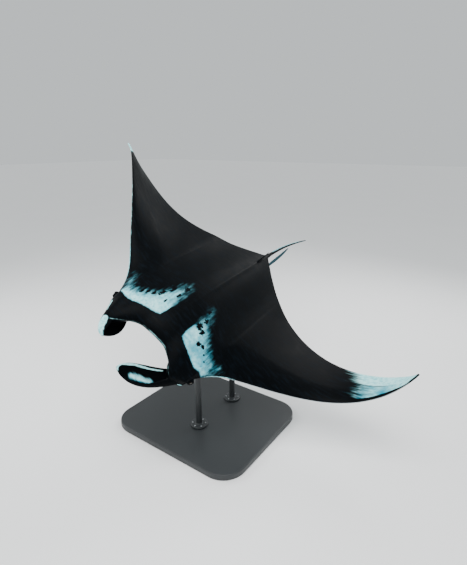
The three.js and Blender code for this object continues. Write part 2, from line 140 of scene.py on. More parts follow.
# the upper lip arches over the mouth, and the lower lip lies behind and below it
def headRise(x, y):
    ax = np.abs(x)
    arch = mix(disc["lipHeight"], disc["cornerHeight"], np.minimum(ax / disc["mouthCornerX"], 1) ** 2)
    return arch * (1 - smooth(ax, *headBlends["archX"])) * (1 - smooth(y, *headBlends["archY"]))


def headTwist(x, y):
    fade = (1 - smooth(np.abs(x), *headBlends["turnX"])) * (1 - smooth(y, *headBlends["turnY"]))
    return disc["headTurn"] * x * fade


def discSurface(x, v, below):
    chord = v ** chordSpacing
    lead = leadingY(x)
    y = mix(lead, trailingY(x), chord)
    if below:
        z = -profile(x, chord, bellyShape)
        side = smooth(np.abs(x), *headBlends["chinToCheek"])
        behind = np.minimum((y - lead) / mix(disc["chinSetback"], disc["cheekSetback"], side), 1)
        depth = mix(disc["chinDepth"], disc["cheekDepth"], side)
        chin = -depth * mix(behind, np.sqrt(1 - (1 - behind) ** 2), side)
        share = (1 - smooth(np.abs(x), *headBlends["chinX"])) * (1 - smooth(y, *headBlends["chinY"]))
        z = mix(z, np.minimum(z, chin), share)
    else:
        z = profile(x, chord, backShape)
    return np.stack([x, y + headTwist(x, y), z + headRise(x, y)], axis=-1)


# curl of the wings, and the pose
wings = {
    1: {"bend": (0.859, -0.69, 1.662), "twist": (0.022, -0.625), "sweep": -33, "camber": 19},
    -1: {"bend": (1.067, -0.383, -0.419), "twist": (0.481, 1.031), "sweep": 378, "camber": 10},
}
curlStartX = 504
curlEase = 0.08  # share of the span over which twist and camber set in
curlSteps = 400
twistY = 924
camberReach = 840
pose = {"bank": 42.0, "noseDown": 9.0, "height": 1330.0, "balanceY": 900.0}


def curl(points):
    out = points.copy()
    length = disc["halfSpan"] - curlStartX
    for side, wing in wings.items():
        pick = points[:, 0] * side > curlStartX
        p = points[pick]
        b0, b1, b2 = wing["bend"]
        middle = (np.arange(curlSteps) + 0.5) / curlSteps
        angles = b0 * middle + b1 * middle ** 2 + b2 * middle ** 3
        spineOut = np.concatenate([[0], np.cumsum(np.cos(angles))]) * length / curlSteps
        spineUp = np.concatenate([[0], np.cumsum(np.sin(angles))]) * length / curlSteps
        a = np.minimum((np.abs(p[:, 0]) - curlStartX) / length, 1)
        shares = np.linspace(0, 1, curlSteps + 1)
        angle = b0 * a + b1 * a ** 2 + b2 * a ** 3
        alongX = np.interp(a, shares, spineOut) - p[:, 2] * np.sin(angle)
        alongZ = np.interp(a, shares, spineUp) + p[:, 2] * np.cos(angle)
        ease = a * (1 + curlEase) / (a + curlEase)
        twist = wing["twist"][0] * a * ease + wing["twist"][1] * a ** 2
        lead = np.clip((twistY - p[:, 1]) / camberReach, -1, 1)
        camber = 2 * wing["camber"] * np.sin(np.pi * a) * lead * ease
        out[pick, 0] = side * (curlStartX + alongX)
        out[pick, 1] = p[:, 1] + wing["sweep"] * a ** 2
        out[pick, 2] = alongZ - twist * (p[:, 1] - twistY) + camber
    return out


poseMatrix = (
    Matrix.Translation((0, 0, pose["height"]))
    @ Matrix.Rotation(math.radians(pose["noseDown"]), 4, "X")
    @ Matrix.Rotation(math.radians(pose["bank"]), 4, "Y")
    @ Matrix.Translation((0, -pose["balanceY"], 0))
)


# flat millimetres to the room's metres
def place(points):
    m = np.array(poseMatrix)
    return (curl(np.asarray(points, float).reshape(-1, 3)) @ m[:3, :3].T + m[:3, 3]) / 1000.0


# closed shells
def ringShell(rings):
    count, sides = rings.shape[:2]
    a = (np.arange(count - 1)[:, None] * sides + np.arange(sides)[None, :]).ravel()
    b = (np.arange(count - 1)[:, None] * sides + (np.arange(sides)[None, :] + 1) % sides).ravel()
    faces = np.stack([a, b, b + sides, a + sides], axis=1).tolist()
    last = (count - 1) * sides
    faces.append(list(range(sides - 1, -1, -1)))
    faces.append(list(range(last, last + sides)))
    return rings.reshape(-1, 3), faces


# even columns as far as the cheeks, then columns that crowd towards the tips
discMesh = {"evenX": 530, "evenColumns": 231, "wingColumns": 120, "crowding": 1.35, "tipGap": 3, "rows": 71}


def discShell():
    even = np.linspace(-discMesh["evenX"], discMesh["evenX"], discMesh["evenColumns"])
    share = 1 - (1 - np.linspace(0, 1, discMesh["wingColumns"] + 1)[1:]) ** discMesh["crowding"]
    outer = mix(discMesh["evenX"], disc["halfSpan"] - discMesh["tipGap"], share)
    x = np.concatenate([-outer[::-1], even, outer])[:, None]
    v = np.linspace(0, 1, discMesh["rows"])
    upper = discSurface(x + 0 * v, 0 * x + v[::-1], False)
    lower = discSurface(x + 0 * v, 0 * x + v, True)
    return ringShell(np.concatenate([upper, lower], axis=1))


# cephalic fins: scoops between a dorsal edge, carried on from the upper lip, and a ventral one
cephalicFins = {
    1: {
        "dorsal": [(356, 190, 8), (342, -50, -62), (222, -228, -98), (22, -212, -50)],
        "ventral": [(318, 250, -138), (205, 70, -150), (-10, -70, -62), (22, -214, -50)],
        "bulge": [(118, -6, 20), (62, -30, -66), (8, -16, -46), (0, 0, 0)],
    },
    -1: {
        "dorsal": [(345, 170, 4), (288, -20, 0), (286, -105, 6), (238, -132, -16)],
        "ventral": [(318, 250, -138), (190, 110, -160), (192, -14, -108), (240, -122, -38)],
        "bulge": [(122, -10, 30), (140, -30, 20), (95, -70, -10), (10, -10, -10)],
    },
}
finThickness = (40, 17)
finEdgeThickness = 9
finMesh = {"rows": 49, "crowding": 1.7, "reach": 0.999, "around": 29, "leastWidth": 4, "thinBelow": 40}


def finSection(fin, t, phi):
    top, low, out = bezier(fin["dorsal"], t), bezier(fin["ventral"], t), bezier(fin["bulge"], t)
    across = (top - low) / 2
    c, s = np.cos(phi)[..., None], np.sin(phi)[..., None]
    width = np.maximum(np.linalg.norm(across, axis=-1, keepdims=True), finMesh["leastWidth"])
    reach = np.maximum(np.linalg.norm(out, axis=-1, keepdims=True), finMesh["leastWidth"])
    centre = (top + low) / 2 + across * c + out * s
    normal = across * c / width ** 2 + out * s / reach ** 2
    normal /= np.maximum(np.linalg.norm(normal, axis=-1, keepdims=True), 1e-9)
    full = mix(*finThickness, t)[..., None] * np.minimum(width / finMesh["thinBelow"], 1)
    return centre, normal, mix(np.minimum(finEdgeThickness, full), full, s) / 2


def finShell(side):
    fin = cephalicFins[side]
    t = 1 - (1 - np.linspace(0, 1, finMesh["rows"])) ** finMesh["crowding"] * finMesh["reach"]
    phi = np.linspace(0, np.pi, finMesh["around"])
    centre, normal, thick = finSection(fin, t[:, None] + 0 * phi, 0 * t[:, None] + phi)
    rings = np.concatenate([centre + normal * thick, (centre - normal * thick)[:, ::-1]], axis=1)
    rings[..., 0] *= side
    return ringShell(rings)


tail = {
    "path": [(0, 1780, 4), (-25, 2160, 6), (0, 2520, -10), (95, 2990, -70)], "flatness": 0.85,
    "rootRadius": 52, "neckRadius": 24, "tipRadius": 6, "taper": (0.08, 0.32), "knob": (11, 0.2, 0.035),
    "thinning": 0.8, "rows": 150, "around": 28,
}


def tailShell():
    t = np.linspace(0, 1, tail["rows"])[:, None]
    phi = np.linspace(0, 2 * np.pi, tail["around"] + 1)[None, :-1]
    centre = bezier(tail["path"], t + 0 * phi)
    radius = mix(tail["tipRadius"], tail["neckRadius"], (1 - t) ** tail["thinning"])
    radius = radius + (tail["rootRadius"] - tail["neckRadius"]) * (1 - smooth(t, *tail["taper"]))
    knobHeight, knobPlace, knobWidth = tail["knob"]
    knob = knobHeight * bump(t, knobPlace, knobWidth)
    up = np.cos(phi) * (radius * tail["flatness"] + np.maximum(np.cos(phi), 0) * knob)
    return ringShell(centre + np.stack([np.sin(phi) * radius, 0 * up, up], axis=-1))


# thin fins between a front and a rear edge, thickest near the front
leafMesh = {"rows": 41, "around": 36, "tipHalfThickness": 3, "rearThinning": 0.55}


def leafShell(front, rear, halfThickness, across):
    t = np.linspace(0, 1, leafMesh["rows"])[:, None]
    phi = np.linspace(0, 2 * np.pi, leafMesh["around"] + 1)[None, :-1]
    along = 0.5 - 0.5 * np.cos(phi)
    a, b = bezier(front, t + 0 * phi), bezier(rear, t + 0 * phi)
    thick = mix(halfThickness, leafMesh["tipHalfThickness"], t) * (1 - leafMesh["rearThinning"] * along)
    thick = thick * np.sin(phi)
    return ringShell(mix(a, b, (along + 0 * t)[..., None]) + thick[..., None] * np.array(across, float))


def onBack(y):
    v = (y - leadingY(0.0)) / (trailingY(0.0) - leadingY(0.0))
    return float(profile(0.0, v, backShape) + headRise(0.0, y))


dorsal = {"rootY": 1700, "sunk": 45, "topY": 1880, "rise": 118, "halfThickness": 15}


def dorsalShell():
    root = onBack(dorsal["rootY"]) - dorsal["sunk"]
    top = onBack(dorsal["topY"]) + dorsal["rise"]
    front = [(0, 1700, root), (0, 1745, root + 75), (0, 1830, top - 8), (0, 1902, top)]
    rear = [(0, 1868, root - 10), (0, 1870, root + 60), (0, 1888, top - 50), (0, 1925, top - 16)]
    return leafShell(front, rear, dorsal["halfThickness"], (1, 0, 0))


pelvic = {
    "outer": [(80, 1830, 0), (106, 1930, 0.05), (110, 2190, 0.5), (72, 2375, 1)],
    "inner": [(72, 1890, 0), (62, 2010, 0.05), (60, 2200, 0.55), (61, 2368, 1)],
    "rootZ": -8, "halfThickness": 11, "droop": {1: -85, -1: 240},
}


def pelvicShell(side):
    edges = [
        [(side * px, py, pelvic["rootZ"] - share * pelvic["droop"][side]) for px, py, share in pelvic[name]]
        for name in ("outer", "inner")
    ]
    return leafShell(edges[0], edges[1], pelvic["halfThickness"], (0, 0, 1))


def ballShell(centre, radii, turn=None, around=64, rows=33):
    lat = np.linspace(-np.pi / 2, np.pi / 2, rows + 2)[1:-1][:, None]
    lon = np.linspace(0, 2 * np.pi, around + 1)[None, :-1]
    unit = np.stack([np.cos(lat) * np.cos(lon), np.cos(lat) * np.sin(lon), np.sin(lat) + 0 * lon], axis=-1)
    points = unit * np.array(radii, float)
    if turn is not None:
        points = points @ np.array(turn).T
    return ringShell(points + np.array(centre, float))


# mouth and eyes
mouth = {"half": (292, 300, 50), "place": (0, 221, 0), "slope": -0.22, "around": 96, "rows": 49}
eye = {
    "radius": 27, "place": (480, 196, -16), "gaze": (0.9, -0.42, 0.1), "lid": 7.5, "gap": 0.3,
    "open": 20.5, "openAhead": 6,
}


def mouthTurn():
    return Matrix.Rotation(math.atan(disc["headTurn"]), 3, "Z") @ Matrix.Rotation(mouth["slope"], 3, "X")


def eyeCentre(side):
    return np.array([side * eye["place"][0], eye["place"][1], eye["place"][2]], float)


def eyeGaze(side):
    g = np.array([side * eye["gaze"][0], eye["gaze"][1], eye["gaze"][2]])
    return g / np.linalg.norm(g)


# one skin from the shells: remeshed in a frame that is stretched where detail is fine
grid = {
    "voxel": 5.2, "head": 1.45, "wing": 0.7, "headX": (560, 950), "headY": (420, 850),
    "eyeBand": 1.3, "eyeX": (480, 45), "eyeY": (196, 55), "lift": (2.3, 3.5), "liftX": (560, 900),
    "liftY": (500, 900),
}


def cumulative(values, density):
    middle = (density[1:] + density[:-1]) / 2
    return np.concatenate([[0], np.cumsum(middle * np.diff(values))])


# one mark to a millimetre
spanMarks = np.linspace(0, 2300, 2301)
lengthMarks = np.linspace(-500, 3300, 3801)
spanStretch, lengthStretch = [
    cumulative(at, mix(grid["head"], grid["wing"], smooth(at, *fall)) + grid["eyeBand"] * bump(at, *atEye))
    for at, fall, atEye in (
        (spanMarks, grid["headX"], grid["eyeX"]), (lengthMarks, grid["headY"], grid["eyeY"]),
    )
]


def liftFactor(x, y):
    return mix(*grid["lift"], np.maximum(smooth(np.abs(x), *grid["liftX"]), smooth(y, *grid["liftY"])))


def stretch(p):
    x = np.sign(p[:, 0]) * np.interp(np.abs(p[:, 0]), spanMarks, spanStretch)
    y = np.interp(p[:, 1], lengthMarks, lengthStretch)
    return np.stack([x, y, p[:, 2] * liftFactor(p[:, 0], p[:, 1])], axis=1) / 1000.0


def unstretch(q):
    q = q * 1000.0
    x = np.sign(q[:, 0]) * np.interp(np.abs(q[:, 0]), spanStretch, spanMarks)
    y = np.interp(q[:, 1], lengthStretch, lengthMarks)
    return np.stack([x, y, q[:, 2] / liftFactor(x, y)], axis=1)


def makeObject(name, points, faces):
    mesh = bpy.data.meshes.new(name)
    mesh.from_pydata(np.asarray(points).tolist(), [], faces)
    mesh.validate()
    made = bpy.data.objects.new(name, mesh)
    bpy.context.scene.collection.objects.link(made)
    return made


def bake(obj):
    graph = bpy.context.evaluated_depsgraph_get()
    mesh = bpy.data.meshes.new_from_object(obj.evaluated_get(graph))
    old = obj.data
    obj.modifiers.clear()
    obj.data = mesh
    bpy.data.meshes.remove(old)


def discard(obj):
    mesh = obj.data
    bpy.data.objects.remove(obj)
    bpy.data.meshes.remove(mesh)


def stretched(name, shell):
    points, faces = shell
    return makeObject(name, stretch(points), faces)


# joins a shell to the targets, or cuts it out of them
def combine(targets, name, shell, operation):
    tool = stretched(name, shell)
    for target in targets:
        change = target.modifiers.new("change", "BOOLEAN")
        change.operation = operation
        change.solver = "EXACT"
        change.object = tool
        bake(target)
    discard(tool)


def coordinates(mesh):
    co = np.zeros(len(mesh.vertices) * 3)
    mesh.vertices.foreach_get("co", co)
    return co.reshape(-1, 3)


def setCoordinates(mesh, points):
    mesh.vertices.foreach_set("co", np.ascontiguousarray(points, np.float32).ravel())
    mesh.update()


def shadeSmooth(mesh):
    mesh.polygons.foreach_set("use_smooth", np.ones(len(mesh.polygons), bool))


def normals(mesh):
    n = np.zeros(len(mesh.vertices) * 3, np.float32)
    mesh.vertex_normals.foreach_get("vector", n)
    return n.reshape(-1, 3).astype(float)


def fusedSkin():
    body = stretched("body", discShell())
    pieces = [stretched("finLeft", finShell(1)), stretched("finRight", finShell(-1))]
    for side in (1, -1):
        centre = eyeCentre(side)
        ahead = centre + eyeGaze(side) * (eye["radius"] + eye["openAhead"])
        combine([body], "lids", ballShell(centre, [eye["radius"] + eye["lid"]] * 3), "UNION")
        combine([body], "ball", ballShell(centre, [eye["radius"] + eye["gap"]] * 3), "DIFFERENCE")
        combine([body], "opening", ballShell(ahead, [eye["open"]] * 3), "DIFFERENCE")
    pocket = ballShell(mouth["place"], mouth["half"], mouthTurn(), mouth["around"], mouth["rows"])
    combine([body] + pieces, "pocket", pocket, "DIFFERENCE")
    pieces += [stretched("tail", tailShell()), stretched("dorsal", dorsalShell())]
    pieces += [stretched("pelvicLeft", pelvicShell(1)), stretched("pelvicRight", pelvicShell(-1))]
    print("shells made:", len(body.data.polygons), "faces on the disc")

    corners, faces = [], []
    for piece in [body] + pieces:
        start = sum(len(c) for c in corners)
        corners.append(coordinates(piece.data))
        faces += [[i + start for i in f.vertices] for f in piece.data.polygons]
        discard(piece)
    made = makeObject("skin", np.concatenate(corners), faces)
    fuse = made.modifiers.new("fuse", "REMESH")
    fuse.mode = "VOXEL"
    fuse.voxel_size = grid["voxel"] / 1000.0
    bake(made)
    return made


skin = fusedSkin()
count = len(skin.data.vertices)
edges = np.zeros(len(skin.data.edges) * 2, np.int64)
skin.data.edges.foreach_get("vertices", edges)
edges = edges.reshape(-1, 2)
degree = np.bincount(edges.ravel(), minlength=count)
print("skin fused:", count, "points")


# moves each point towards the middle of its neighbours, by its own weight
def relax(points, weight, rounds):
    near = edges[(weight[edges[:, 0]] > 0) | (weight[edges[:, 1]] > 0)]
    used = np.unique(near)
    local = np.searchsorted(used, near)
    shares = weight[used, None]
    part = points[used]
    for _ in range(rounds):
        middle = np.stack([
            np.bincount(local[:, 0], part[local[:, 1], i], len(used))
            + np.bincount(local[:, 1], part[local[:, 0], i], len(used))
            for i in range(3)
        ], axis=1) / degree[used, None]
        part = part + np.where(shares > 0, (middle - part) * shares, 0)
    points = points.copy()
    points[used] = part
    return points


# where the skin is evened out, in |x| and y: at the fin roots, the tail root, the cheeks and the wing roots.
# A mask rises over the first two values and falls over the others
blends = [
    {"x": (240, 290, 430, 470), "y": (-60, 0, 110, 170), "weight": 0.5, "rounds": 14},
    {"x": (-2, -1, 200, 260), "y": (1650, 1700, 1960, 2040), "weight": 0.5, "rounds": 14},
    {"x": (300, 350, 540, 600), "y": (10, 50, 420, 520), "weight": 0.6, "rounds": 40, "offEye": (38, 60)},
    {"x": (430, 490, 640, 740), "y": (400, 480, 1500, 1700), "weight": 0.6, "rounds": 70,
     "offEdge": (25, 50)},
]
overallWeight, overallRounds = 0.4, 2


def evenOut(points):
    ax = np.abs(points[:, 0])
    for blend in blends:
        mask = band(ax, *blend["x"]) * band(points[:, 1], *blend["y"])
        if "offEye" in blend:
            sides = np.where(points[:, :1] > 0, (1, 1, 1), (-1, 1, 1))
            fromEye = np.linalg.norm(points - sides * np.array(eye["place"]), axis=1)
            mask *= smooth(fromEye, *blend["offEye"])
        if "offEdge" in blend:
            mask *= smooth(np.abs(points[:, 2]), *blend["offEdge"])
        points = relax(points, blend["weight"] * mask, blend["rounds"])
    return relax(points, np.full(count, overallWeight), overallRounds)


flat = evenOut(unstretch(coordinates(skin.data)))
setCoordinates(skin.data, flat)
normal = normals(skin.data)
# every mask and mark below is laid out before the folds move the skin
x, y, z = flat.T
ax = np.abs(x)
untwisted = y - headTwist(x, y)
height = z - headRise(x, untwisted)
print("roots blended")

# gill slits: each fold has a height, a place behind the slit and a width
gillSlits = {
    "y": (560, 655, 745, 830, 905), "inner": (150, 145, 140, 132, 125), "outer": (415, 410, 390, 350, 290),
    "bow": 26, "slant": 34, "folds": [(-13, 0, 6.5), (7, -15, 11), (-2.5, 17, 10)], "shadeWidth": 8,
    "ends": (-0.02, 0.12, 0.88, 1.02), "facingDown": (0.2, 0.6), "below": -20,
}


def slitRelief():
    push, shade = np.zeros(count), np.zeros(count)
    underside = smooth(-normal[:, 2], *gillSlits["facingDown"]) * (z < gillSlits["below"])
    for middle, inner, outer in zip(gillSlits["y"], gillSlits["inner"], gillSlits["outer"]):
        along = (ax - inner) / (outer - inner)
        off = y - middle - gillSlits["bow"] * (2 * along - 1) ** 2 + gillSlits["slant"] * along
        ends = band(along, *gillSlits["ends"]) * underside
        for rise, place, width in gillSlits["folds"]:
            push += rise * bump(off, place, width) * ends
        shade = np.maximum(shade, bump(off, 0, gillSlits["shadeWidth"]) * ends)
    return push, shade


# folds round the eyes: height, radius, width, and which way the ring wavers
lidFolds = {
    "rings": [(1.2, 45, 5.5, 1), (-1.3, 53, 4.5, 1), (0.8, 62, 6, -1)],
    "waver": 2.5, "waves": 3, "start": 0.6,
}
# a spiracle behind each eye: a short slit with a raised lip, each with a height, a length and a width
spiracles = {
    "place": (452, 292, 62), "turn": (0.35, 0.94), "slit": (-9, 15, 6), "lip": (3.5, 20, 7), "lipOff": 13,
}


def eyeRelief():
    push = np.zeros(count)
    onTop = smooth(normal[:, 2], 0.1, 0.4)
    s, c = spiracles["turn"]
    for side in (1, -1):
        away = flat - eyeCentre(side)
        distance = np.linalg.norm(away, axis=1)
        turn = np.arctan2(away[:, 2], side * away[:, 1])
        waver = lidFolds["waver"] * np.sin(lidFolds["waves"] * turn + lidFolds["start"])
        for rise, radius, width, way in lidFolds["rings"]:
            push += rise * bump(distance + way * waver, radius, width)
        off = flat - np.array(spiracles["place"]) * (side, 1, 1)
        long = off[:, 0] * side * s + off[:, 1] * c
        wide = off[:, 0] * side * c - off[:, 1] * s
        for name, middle in (("slit", 0), ("lip", spiracles["lipOff"] * side)):
            rise, length, width = spiracles[name]
            push += rise * bump(long, 0, length) * bump(wide, middle, width) * onTop
    return push


# slow muscle relief over the disc, and the ridge over the spine
muscles = {
    "ripple": 0.8, "swell": 2.2, "y": (250, 500, 1800, 1900), "calmer": 0.6, "calmerX": (900, 1800),
    "ridge": 3.5, "ridgeWidth": 30, "ridgeY": (700, 950, 1550, 1690),
}


# the sines have these lengths in millimetres, and cross so that no bulge repeats its neighbour
def muscleRelief():
    ripples = np.sin(x / 61 + 1.3 * np.sin(y / 170)) * np.sin(y / 83 + x / 240)
    swells = np.sin(x / 190 + 0.7) * np.sin(y / 230 + 0.4 * np.sin(x / 300))
    strength = band(y, *muscles["y"]) * (1 - muscles["calmer"] * smooth(ax, *muscles["calmerX"]))
    ridge = muscles["ridge"] * bump(x, 0, muscles["ridgeWidth"]) * band(y, *muscles["ridgeY"])
    ridge *= smooth(normal[:, 2], 0.3, 0.8)
    return strength * (muscles["ripple"] * ripples + muscles["swell"] * swells) + ridge


# inside the mouth: rows of gill plates on the roof and the floor
gillPlates = {
    "spacing": 26, "height": 5.5, "sunk": 2, "crest": 0.6, "wave": 1.5, "waveWidth": 9, "starts": (-60, 40),
}
mouthReach = {"shell": (0.03, 0.08), "starts": (-230, -150), "x": 300, "y": 560}


def mouthRelief():
    local = (flat - np.array(mouth["place"])) @ np.array(mouthTurn())
    reach = np.linalg.norm(local / np.array(mouth["half"]), axis=1)
    inside = 1 - smooth(np.abs(reach - 1), *mouthReach["shell"])
    inside *= smooth(local[:, 1], *mouthReach["starts"]) * (ax < mouthReach["x"]) * (y < mouthReach["y"])
    plates = np.abs(np.sin(local[:, 0] * np.pi / gillPlates["spacing"])) ** gillPlates["crest"]
    waves = gillPlates["wave"] * np.sin(local[:, 1] / gillPlates["waveWidth"])
    rows = inside * smooth(local[:, 1], *gillPlates["starts"])
    return rows * (gillPlates["height"] * plates - gillPlates["sunk"] + waves), inside


slitPush, slits = slitRelief()
mouthPush, inside = mouthRelief()
push = slitPush + eyeRelief() + muscleRelief() + mouthPush
flat = flat + normal * push[:, None]
print("folds made")

# where the markings lie: loops and lines in flat millimetres
marks = {
    # shoulder patches, |x| and y: the front edge from the eye inwards, the inner edge, the back edge
    "patches": {
        1: [(516, 279), (427, 242), (327, 258), (231, 275), (165, 300), (150, 356), (149, 465), (141, 599),
            (122, 755), (202, 712), (258, 590), (316, 505), (392, 445), (462, 398), (530, 430), (590, 462)],
        -1: [(479, 214), (395, 183), (331, 191), (248, 220), (156, 251), (91, 276), (81, 335), (86, 447),
             (96, 628), (100, 740), (151, 738), (190, 641), (210, 527), (270, 425), (355, 330), (435, 290),
             (545, 430)],
    },
    # how many points of a loop make its front edge, and the first point of its back edge
    "frontPoints": 6, "backFrom": 8,
    # where a patch turns ragged and fades, the |x| and y it stays within, and a value for far outside it
    "ragged": (-70, 50), "fadeY": {1: (420, 740), -1: (520, 760)}, "within": (800, 1100), "outside": -400,
    # dark blotches in them: |x|, y, width and length
    "blotches": {
        1: [(192, 482, 46, 60), (246, 468, 34, 46), (300, 384, 34, 30), (340, 402, 28, 24),
            (395, 372, 14, 12), (441, 341, 12, 12), (196, 575, 26, 50), (150, 660, 20, 40)],
        -1: [(357, 322, 17, 42), (320, 352, 17, 44), (279, 379, 19, 52), (237, 440, 25, 70),
             (205, 540, 25, 70), (130, 525, 17, 48), (160, 400, 13, 32), (130, 640, 28, 58)],
    },
    "blotchEdge": 1.25,
    "leftRim": [(60, -216, -72), (29, -204, -60), (17, -178, -58), (22, -144, -64), (81, -51, -95),
                (179, 42, -127), (225, 90, -136), (262, 132, -140)],
    "leftPatch": [(142, -130, -100), (205, -80, -108), (262, -38, -100)],
    "rightPatch": [(-356, -40, 5), (-318, -100, -15), (-265, -138, -36)],
    "rightRim": [(-447, 108, 16), (-409, 28, 4)],
    "cheekSpot": [(440, 136, -90), (478, 142, -80)],
    # the direction of the light, and the side of the tail that takes a painted highlight
    "towardsLight": (0.1, -0.48, 0.87), "tailLitSide": (-0.75, 0.0, 0.66),
}
# how far from its line a mark on the fins or the cheek is full, where it ends, and its strength
markWidths = {
    "leftRim": (7, 13, 1.0), "rightRim": (6, 11, 0.8), "leftPatch": (0, 64, 1.0),
    "rightPatch": (20, 40, 1.0), "cheekSpot": (9, 18, 1.0),
}
# the white patches on the fins are marks, drawn only on the side turned towards the light, so they are in
# part painted light
patchFacing = {"leftPatch": (-0.1, 0.25), "rightPatch": (-0.35, 0.0)}
# wing tips, by |x| unless a name ends in Y: the left one has a white band behind a blue one and a black front
# margin, and the right one has pale bands along its edges, widening outwards
wingTips = {
    "start": 1480, "slant": 0.9, "slantY": (1260, 160), "fadeIn": 90, "spread": (290, 390),
    "blueY": (1200, 1262), "margin": (116, 28, 4), "marginNarrows": (1480, 1700), "marginEnds": (1880, 2020),
    "seamY": 1243, "seamWidth": 7, "seamSlant": 0.04, "seamMiddle": 1700, "seam": (1500, 1580, 1800, 1860),
    "seamDepth": 0.45, "rearBand": (18, 150), "rearWidens": (1640, 1960), "rearStarts": (1560, 1760),
    "frontBand": (14, 130), "frontWidens": (1790, 1960), "frontStarts": (1740, 1860),
    "marginSoft": (-14, 10), "rearSoft": (-12, 12), "frontSoft": (-10, 14),
}
# the pale lines along the leading edges, and a painted highlight along the rim of the upper lip: strength,
# width, and where in |x| they start and fade
edgeLine = {
    "width": 5, "starts": (505, 540), "ends": (1300, 1500), "left": (0.9, 0), "leftFades": (640, 800),
    "right": (1, 0.5), "rightFades": (650, 900), "lip": 0.47, "lipOff": 3, "lipHighlightWidth": 6,
    "lipHighlightEnds": (330, 372), "lipHeight": (0, 4),
}
# where other kinds of skin start and end, in |x|, y or millimetres off an edge
skinParts = {
    "finOff": (-10, 20), "finX": 480, "finY": 190, "tipX": (1150, 1550), "tailX": 56, "tailY": (1925, 1965),
    # the tail's pale line set here and below is a painted highlight on its lit side
    "tailHighlightY": (2120, 2220), "tailHighlightFacing": (0.7, 0.9), "pelvicX": 57, "pelvicOff": (0, 12),
    "chinX": 600, "chinY": (330, 430), "spottedX": (480, 700), "spottedY": (700, 880, 1450, 1700),
    "sideHeight": (-5, 5), "tailHighlightPale": 0.8, "fadeRagged": 0.8,
}
# how blue the marks are: the left tip's front band, the shoulders (the left one more, as painted shade,
# because it is turned from the light), the left fin patch's rim as painted shade, and the tail's painted
# highlight
blueParts = {
    "tip": 0.85, "tipY": (1222, 1262), "tipX": (1300, 1500, 1850, 2000), "shoulders": (0.65, 0.3),
    "shoulderX": 800, "shoulderY": 190, "rim": 0.9, "rimShare": (0.05, 0.3, 0.7, 1.0), "tail": 0.7,
}


def lineDistance(points, line):
    line = np.array(line, float)
    best = np.full(len(points), 1e9)
    for a, b in zip(line[:-1], line[1:]):
        t = np.clip((points - a) @ (b - a) / ((b - a) @ (b - a)), 0, 1)[:, None]
        best = np.minimum(best, np.linalg.norm(points - a - t * (b - a), axis=1))
    return best


# distance to a loop, positive inside it
def loopDistance(points, loop):
    px, py = points.T
    within = np.zeros(len(points), bool)
    for (x0, y0), (x1, y1) in zip(loop, loop[1:] + loop[:1]):
        crosses = (y0 > py) != (y1 > py)
        past = px - x0 - (x1 - x0) * (py - y0) / ((y1 - y0) or 1)
        within ^= crosses & (past < 0)
    away = lineDistance(points, loop + loop[:1])
    return np.where(within, away, -away)


front = untwisted - leadingY(x)
behindEdge = trailingY(x) - y
onBackSide = smooth(height, *skinParts["sideHeight"])
facing = normal @ np.array(marks["towardsLight"])
left = x > 0


# how far inside a shoulder patch each point is, and how ragged, faded and blotched the patch is there
def shoulderMarks():
    inward = np.full(count, float(marks["outside"]))
    ragged, fade, blotch = np.zeros((3, count))
    for side, loop in marks["patches"].items():
        pick = (x * side > 0) & (ax < marks["within"][0]) & (y < marks["within"][1])
        plan = np.stack([ax[pick], y[pick]], axis=1)
        inward[pick] = loopDistance(plan, loop)
        toFront = lineDistance(plan, loop[:marks["frontPoints"]])
        toBack = lineDistance(plan, loop[marks["backFrom"]:])
        ragged[pick] = smooth(toFront - toBack, *marks["ragged"])
        fade[pick] = smooth(y[pick], *marks["fadeY"][side])
        for bx, by, width, length in marks["blotches"][side]:
            off = np.hypot((plan[:, 0] - bx) / width, (plan[:, 1] - by) / length)
            blotch[pick] = np.maximum(blotch[pick], 1 - smooth(off, 0, marks["blotchEdge"]))
    return inward, ragged, fade, blotch


def tipMarks():
    t = wingTips
    slantY, slantLength = t["slantY"]
    start = t["start"] - t["slant"] * np.clip(y - slantY, 0, slantLength)
    broad, narrow, least = t["margin"]
    margin = mix(mix(broad, narrow, smooth(ax, *t["marginNarrows"])), least, smooth(ax, *t["marginEnds"]))
    spread = mix(*t["spread"], 1 - smooth(y, *t["blueY"]))
    onLeft = smooth(ax - start, -t["fadeIn"], spread) * smooth(front - margin, *t["marginSoft"]) * left
    seam = bump(y + t["seamSlant"] * (ax - t["seamMiddle"]), t["seamY"], t["seamWidth"])
    onLeft *= 1 - t["seamDepth"] * seam * band(ax, *t["seam"])
    rear = mix(*t["rearBand"], smooth(ax, *t["rearWidens"]))
    rear = smooth(ax, *t["rearStarts"]) * (1 - smooth(behindEdge - rear, *t["rearSoft"]))
    ahead = mix(*t["frontBand"], smooth(ax, *t["frontWidens"]))
    ahead = smooth(ax, *t["frontStarts"]) * (1 - smooth(front - ahead, *t["frontSoft"]))
    return np.maximum(onLeft, np.maximum(rear, ahead) * ~left)


def edgeLinesAndLipHighlight():
    e = edgeLine
    onLeft = mix(*e["left"], smooth(ax, *e["leftFades"]))
    onRight = mix(*e["right"], smooth(ax, *e["rightFades"]))
    outward = np.where(left, onLeft, onRight) * band(ax, *e["starts"], *e["ends"])
    # a painted highlight along the rim of the upper lip, on its top side
    lip = e["lip"] * bump(front, e["lipOff"], e["lipHighlightWidth"]) * smooth(height, *e["lipHeight"])
    return np.maximum(bump(front, 0, e["width"]) * outward, lip * (1 - smooth(ax, *e["lipHighlightEnds"])))


shoulder, ragged, fade, blotch = shoulderMarks()
drawn = {
    name: strength * (1 - smooth(lineDistance(flat, marks[name]), full, end))
    for name, (full, end, strength) in markWidths.items()
}
# the fin patches are kept to the skin turned towards the light: in part painted light
for name, (start, end) in patchFacing.items():
    drawn[name] *= smooth(facing, start, end)

part, tint = skinParts, blueParts
onFin = smooth(-front, *part["finOff"]) * (ax < part["finX"]) * (y < part["finY"])
